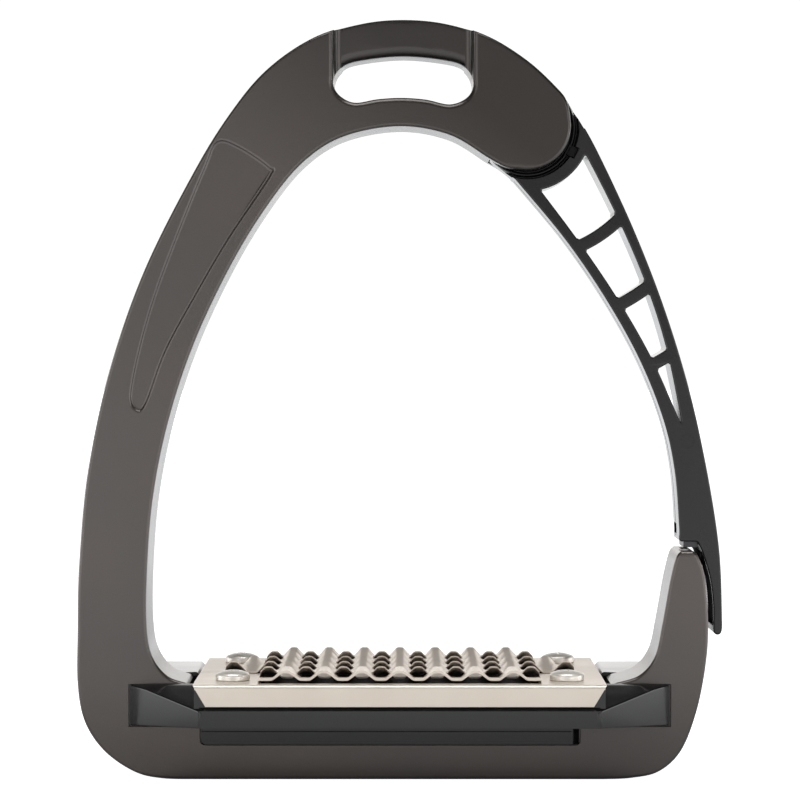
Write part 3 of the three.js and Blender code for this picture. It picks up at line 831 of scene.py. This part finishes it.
def holder_lip():
    """The lip along the front of the holder's wall, its upper edge slanting back."""
    section = [(-27, WALL_Z), (-WALL_Y, WALL_Z), (-WALL_Y, 18.3), (-27.7, 18.9), (-27, 18.9)]
    return hull("lip", [(x, y, z) for y, z in section for x in (-45, 45)])


def holder_rib():
    """The lower rib in the frame's face: rounded at the left, slanting at the right, with a fine groove."""
    front, back = -FACE - 0.6, -FACE + 1.4
    low, end_x = 8.2, 39
    outline = arc((-44.4, 9.6), 1.4, -math.pi / 2, -math.pi, 8)
    outline += [(-45.8, WALL_Z + 0.5), (end_x + 0.5, WALL_Z + 0.5), (end_x + 0.5, low)]
    rib = plate("rib", outline, front, back)
    corners = [(end_x, front), (end_x, back), (end_x + 2.4, back)]
    end = hull("end", [(x, y, z) for x, y in corners for z in (low, WALL_Z)])
    return cut(join(rib, end), block("groove", -46, 42, -FACE - 1, -FACE + 0.2, 11.1, 11.9))


def holder_side():
    """The front half under the deck: a wall hollowed from below, the rib with its web, two screw bosses."""
    box = block("box", -DECK_X, DECK_X, -DECK_Y, -FACE - 0.3, WALL_Z, DECK_TOP)
    hollowed = block("hollow", -42, 42, -25.5, -FACE - 2.1, WALL_Z - 1, DECK_TOP - 2.6)
    wall = cut(join(box, holder_lip()), hollowed)
    web = block("web", -45.2, 39, -FACE - 2.2, -FACE - 0.35, 11.9, WALL_Z + 1)
    bosses = with_mirror(post("boss", SCREW_X, -SCREW_Y, 4.5, WALL_Z + 0.5, 22.4), 0)
    return join(wall, holder_rib(), web, *bosses)


def holder_holes():
    """Cutters for the pad's bed and for the screws and their inserts."""
    holes = [block("bed", -BED_X, BED_X, -BED_Y, BED_Y, DECK_TOP - 1.2, DECK_TOP + 1)]
    for x in (-SCREW_X, SCREW_X):
        for y in (-SCREW_Y, SCREW_Y):
            holes.append(post("hole", x, y, INSERT_HOLE_R, 15.4, 21.45))
            holes.append(post("hole", x, y, SCREW_HOLE_R, 15, 30))
    holes += [post("hole", x, 0, INSERT_HOLE_R, 13, 20.05) for x in (-BASE_SCREW_X, BASE_SCREW_X)]
    return holes


def make_holder(material):
    """The tread base: a deck with a side in front and behind, four fairings and two bosses in the frame."""
    deck = block("tread_base", -DECK_X, DECK_X, -DECK_Y, DECK_Y, BEAM_TOP + 0.3, DECK_TOP)
    base = with_mirror(post("boss", BASE_SCREW_X, 0, 4.6, 14, 22.4), 0)
    roots = with_mirror(fairing_root(), 0)
    roots += [mirrored(root, 1) for root in roots]
    fairings = with_mirror(front_fairing(), 0) + with_mirror(back_fairing(), 0)
    fairings = [soften(fairing, 0.35, 3, 12) for fairing in fairings]
    piece = join(deck, *with_mirror(holder_side(), 1), *roots, *fairings, *base)
    piece = soften(cut(piece, *holder_holes()), 0.25, angle=25)
    return finish_piece(piece, "tread_base", FRAME_BODY, ["tread_holder"], material)


def make_pad(material):
    """The black inlay, a little smaller than its bed."""
    gap = 0.3
    x, y = BED_X - gap, BED_Y - gap
    piece = soften(block("tread_inlay", -x, x, -y, y, DECK_TOP - 1.1, DECK_TOP - 0.05), 0.2)
    return finish_piece(piece, "tread_inlay", FRAME_BODY, ["tread_pad"], material)


def tooth(u):
    """Height of one tooth, from 0 at its foot to 1 along its blunt tip, at a distance u from its middle."""
    half_foot, run = 3.1, 2.3
    t = (half_foot - abs(u)) / run
    blunt, round_foot = 0.08, 0.08
    t = (t + 1 - math.sqrt((t - 1) ** 2 + blunt**2)) / 2
    return (t + math.sqrt(t * t + round_foot**2)) / 2


def wave(x, shift, reach, trough=TROUGH):
    """Height of a row of teeth over the tread at x, flattening out past its last tooth."""
    centre = shift + round((x - shift) / TOOTH_PITCH) * TOOTH_PITCH
    if abs(centre) > reach:
        return trough * min(1, max(0, 1 - (abs(x) - reach - TOOTH_PITCH / 2) / 2))
    return trough + (PEAK - trough) * tooth(x - centre)


def tooth_row(bm, row, y0, y1, half):
    """One wavy strip between two slits, its wave passing into the next row's along the way."""
    across, along = 8, 28
    reach = half - 1.9
    edge = 0.6 if row == 0 else 0.3
    count = round(2 * half / TOOTH_PITCH * along)
    rings = []
    for i in range(count + 1):
        x = -half + 2 * half * i / count
        front = wave(x, 0, reach, FRONT_TROUGH) if row == 0 else wave(x, TOOTH_PITCH / 2, reach)
        back = wave(x, 0, reach)
        if i in (0, count):
            front = back = -0.05
        upper, lower = [], []
        for k in range(across + 1):
            share = k / across
            y, z = y0 + (y1 - y0) * share, TREAD_TOP + front + (back - front) * share
            thickness = edge + (SHEET - edge) * min(1, 4 * share)
            upper.append(bm.verts.new((x, y, z)))
            lower.append(bm.verts.new((x, y, z - thickness)))
        rings.append(upper + lower[::-1])
    for a, b in zip(rings, rings[1:]):
        for k in range(len(a)):
            j = (k + 1) % len(a)
            bm.faces.new((a[k], a[j], b[j], b[k]))
    bm.faces.new(rings[0])
    bm.faces.new(rings[-1][::-1])


def folded_sheet():
    """The tread's sheet, folded down in front and behind into flanges that narrow downwards."""
    bend = 0.9
    centre = (-TREAD_Y + bend, TREAD_TOP - bend)
    outer = [(-TREAD_Y, FLANGE_Z)] + arc(centre, bend, math.pi, math.pi / 2, 6)
    outer += [(-y, z) for y, z in reversed(outer)]
    inner = [(-TREAD_Y + SHEET, FLANGE_Z)] + arc(centre, bend - SHEET, math.pi, math.pi / 2, 6)
    inner += [(-y, z) for y, z in reversed(inner)]
    section = outer + inner[::-1]

    def end_x(z):
        return FLANGE_X + (TREAD_X - FLANGE_X) * (z - FLANGE_Z) / (TREAD_TOP - FLANGE_Z)

    bm = bmesh.new()
    left = [bm.verts.new((-end_x(z), y, z)) for y, z in section]
    right = [bm.verts.new((end_x(z), y, z)) for y, z in section]
    bm.faces.new(left)
    bm.faces.new(right[::-1])
    for i in range(len(section)):
        j = (i + 1) % len(section)
        bm.faces.new((left[i], left[j], right[j], right[i]))
    return from_bmesh("grip_tread", bm)


def tread_openings(halves):
    """Cutters for the rows of teeth and for the four screws."""
    low, high = 20, 30
    holes = []
    for half, start, end in zip(halves, ROW_EDGES, ROW_EDGES[1:]):
        holes.append(block("slit", -half + 0.5, half - 0.5, start, end + 0.001, low, high))
    for x in (-SCREW_X, SCREW_X):
        holes += [post("hole", x, y, SCREW_HOLE_R, low, high) for y in (-SCREW_Y, SCREW_Y)]
    return holes


def make_tread(material):
    """The grip tread: the folded sheet with five rows of teeth, the middle one longer than the rest."""
    halves = [(4.75 if row == 2 else 3.75) * TOOTH_PITCH for row in range(5)]
    sheet = cut(folded_sheet(), *tread_openings(halves))
    soften(sheet, 0.12, 2)
    bm = bmesh.new()
    bm.from_mesh(sheet.data)
    for row, half in enumerate(halves):
        tooth_row(bm, row, ROW_EDGES[row] + 0.06, ROW_EDGES[row + 1] - 0.06, half)
    bmesh.ops.recalc_face_normals(bm, faces=bm.faces)
    bm.to_mesh(sheet.data)
    bm.free()
    return finish_piece(sheet, "grip_tread", FRAME_BODY, ["tread_plate"], material, 40)


def screw_profile(seat):
    """Radius and height of a pan head screw from its tip to the middle of its domed head."""
    tip, shank, head, curl = 16.2, 2, 3.9, 0.8
    profile = [(shank, tip), (shank, seat), (head - 0.15, seat), (head, seat + 0.15), (head, seat + 0.9)]
    for degrees in (15, 30, 45, 60, 72):
        a = math.radians(degrees)
        profile.append((head - curl + curl * math.cos(a), seat + 0.9 + curl * math.sin(a)))
    return profile + [(2.4, seat + 2.0), (1.5, seat + 2.17), (0.7, seat + 2.26), (0, seat + 2.3)]


def turned(name, x, y, profile, segments=64):
    """The profile turned about an upright line; its last point lies on that line."""
    angles = [2 * math.pi * i / segments for i in range(segments)]
    bm = bmesh.new()
    rings = []
    for r, z in profile[:-1]:
        rings.append([bm.verts.new((x + r * math.cos(a), y + r * math.sin(a), z)) for a in angles])
    bm.faces.new(rings[0][::-1])
    for a, b in zip(rings, rings[1:]):
        for i in range(segments):
            j = (i + 1) % segments
            bm.faces.new((a[i], a[j], b[j], b[i]))
    top = bm.verts.new((x, y, profile[-1][1]))
    for i in range(segments):
        bm.faces.new((rings[-1][i], rings[-1][(i + 1) % segments], top))
    return from_bmesh(name, bm)


def cross_recess(x, y, seat, turn):
    """Cutters for the two arms of a cross, narrow at the bottom and wide at the top."""
    levels = ((seat + 1.1, 1.0, 0.2), (seat + 3, 2.3, 0.42))
    corners = [(-1, -1), (-1, 1), (1, -1), (1, 1)]
    arms = []
    for extra in (0, math.pi / 2):
        arm = hull("cross", [(sx * long, sy * wide, z) for z, long, wide in levels for sx, sy in corners])
        arm.data.transform(Matrix.Translation((x, y, 0)) @ Matrix.Rotation(turn + extra, 4, "Z"))
        arms.append(arm)
    return arms


def make_tread_screw(number, x, y, material):
    """A pan head screw with a cross recess, each turned differently."""
    seat = TREAD_TOP + 0.05
    screw = turned("tread_screw", x, y, screw_profile(seat))
    recess = cross_recess(x, y, seat, math.radians(25 + 40 * number))
    screw = soften(cut(screw, *recess), 0.06, 2, 45, lambda p: p.z > seat + 1.2)
    name = f"tread_screw_head_{number}"
    return finish_piece(screw, name, FRAME_BODY, [f"tread_screw_{number}"], material)


def dress_cad_nodes(materials):
    """The small inner pieces keep their CAD shape and get a full material."""
    for name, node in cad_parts.items():
        if name in materials:
            node.data.materials.clear()
            node.data.materials.append(materials[name])


def make_pieces():
    """Every piece with its material."""
    nylon, steel, black = moulded_nylon(), screw_steel(), rubber()
    make_frame(anodised_metal())
    make_arm(nylon)
    make_key(black)
    make_holder(holder_plastic())
    make_pad(black)
    make_tread(satin_sheet())
    places = [(-SCREW_X, -SCREW_Y), (SCREW_X, -SCREW_Y), (-SCREW_X, SCREW_Y), (SCREW_X, SCREW_Y)]
    for number, (x, y) in enumerate(places, 1):
        make_tread_screw(number, x, y, steel)
    magnet = plated_magnet()
    insert = brass("insert_brass", (0.62, 0.42, 0.17), (0.5, 0.33, 0.13))
    bronze = brass("bushing_bronze", (0.42, 0.27, 0.12), (0.3, 0.19, 0.09))
    dress_cad_nodes({
        "hinge_screw": steel, "hinge_bushing": bronze,
        "thrust_washer_front": nylon, "thrust_washer_back": nylon,
        "arm_magnet": magnet, "post_magnet": magnet,
        "base_screw_1": steel, "base_screw_2": steel,
        "base_insert_1": insert, "base_insert_2": insert,
        **{f"tread_insert_{i}": insert for i in range(1, 5)}})


# ---------------------------------------------------------------- stage, light and camera


def make_floor():
    """A floor that the camera sees white. In reflections it glows only some way off from the object."""
    bm = bmesh.new()
    bmesh.ops.create_grid(bm, x_segments=8, y_segments=8, size=6.0)
    mesh = bpy.data.meshes.new("floor")
    bm.to_mesh(mesh)
    bm.free()
    floor = link("floor", mesh)
    n = Nodes("floor_white")
    glow = n.spread(n.slope((0, 1, 0), 0.15, 0.6), 0.05, 1.05, 0, 1)
    front, right, left = (0, -1, 0), (1, 0, 0), (-1, 0, 0)
    for direction, start, end, strength in (
            (front, 0.03, 0.2, 0.8), (right, 0.1, 0.3, 1.5), (left, 0.1, 0.3, 1.5)):
        glow = n.combine("MAXIMUM", glow, n.combine("MULTIPLY", n.slope(direction, start, end), strength))
    seen = n.combine("MAXIMUM", n.add("ShaderNodeLightPath").outputs["Is Camera Ray"], glow)
    colour = n.ramp(n.noise(3, 2), [(0.3, (0.6, 0.6, 0.6)), (0.7, (0.62, 0.62, 0.62))])
    n.set(Base_Color=colour, Roughness=0.9, Emission_Color=(0.96, 0.98, 1, 1), Emission_Strength=seen)
    mesh.materials.append(n.material)


def make_world():
    """White to the camera. Reflections see a lit backdrop, a dim wall in front and darkness above."""
    world = bpy.data.worlds.new("studio")
    world.use_nodes = True
    tree = world.node_tree
    tree.nodes.clear()
    add, wire = tree.nodes.new, tree.links.new

    def background(strength, colour):
        node = add("ShaderNodeBackground")
        node.inputs["Strength"].default_value = strength
        node.inputs["Color"].default_value = (*colour, 1)
        return node

    def ranged(value, start, end, low, high):
        node = add("ShaderNodeMapRange")
        node.interpolation_type = "SMOOTHSTEP"
        for key, number in (("From Min", start), ("From Max", end), ("To Min", low), ("To Max", high)):
            node.inputs[key].default_value = number
        wire(value, node.inputs["Value"])
        return node.outputs["Result"]

    def calculated(operation, a, b):
        node = add("ShaderNodeMath")
        node.operation = operation
        wire(a, node.inputs[0])
        wire(b, node.inputs[1])
        return node.outputs[0]

    parts = add("ShaderNodeSeparateXYZ")
    wire(add("ShaderNodeTexCoord").outputs["Generated"], parts.inputs[0])
    backdrop = ranged(parts.outputs["Y"], 0.5, 0.9, 0.2, 1.0)
    front = ranged(parts.outputs["Y"], -0.9, -0.1, 0.54, 0.2)
    band = ranged(parts.outputs["Z"], 0.03, 0.15, 1.0, 1.7)
    above = ranged(parts.outputs["Z"], 0.26, 0.5, 1.0, 0.04)
    studio = background(1, (1, 0.985, 0.965))
    around = calculated("MAXIMUM", calculated("MULTIPLY", backdrop, band), front)
    wire(calculated("MULTIPLY", around, above), studio.inputs["Strength"])
    mix = add("ShaderNodeMixShader")
    wire(add("ShaderNodeLightPath").outputs["Is Camera Ray"], mix.inputs[0])
    wire(studio.outputs[0], mix.inputs[1])
    wire(background(1.05, (1, 1, 1)).outputs[0], mix.inputs[2])
    wire(mix.outputs[0], add("ShaderNodeOutputWorld").inputs[0])
    scene.world = world


def make_light(name, place, size, power, target=(0, 0, 0.09)):
    """A rectangular lamp in metres that points at the object's middle."""
    data = bpy.data.lights.new(name, "AREA")
    data.shape = "RECTANGLE"
    data.size, data.size_y = size
    data.energy = power
    lamp = bpy.data.objects.new(name, data)
    collection.objects.link(lamp)
    lamp.location = place
    lamp.rotation_euler = (Vector(target) - Vector(place)).to_track_quat("-Z", "Y").to_euler()


def make_camera():
    """The photo's view: from in front, a little above the middle, looking slightly down."""
    distance, height, aside = 659.5, 99.8, 0.5
    sensor, focal_widths = 36, 3.53
    data = bpy.data.cameras.new("camera")
    data.sensor_width = sensor
    data.lens = focal_widths * sensor
    data.clip_start = 0.01
    camera = bpy.data.objects.new("camera", data)
    collection.objects.link(camera)
    camera.location = (aside * MM, -distance * MM, height * MM)
    camera.rotation_euler = (math.radians(90 - 1.071), 0, math.radians(0.04))
    scene.camera = camera


def main():
    """The whole scene, with lamp powers in watts."""
    make_pieces()
    make_floor()
    make_world()
    make_light("key_left", (-0.75, -1.0, 0.25), (0.8, 0.7), 2.5)
    make_light("key_right", (0.8, -1.0, 0.2), (0.7, 0.6), 2.5)
    make_light("overhead", (0, -0.25, 1.2), (0.9, 0.7), 10)
    make_light("side_left", (-1.1, 0.1, 0.12), (0.8, 0.6), 4)
    make_light("side_right", (1.1, 0.1, 0.12), (0.8, 0.6), 4)
    make_camera()
    scene.view_settings.view_transform = "Standard"


main()
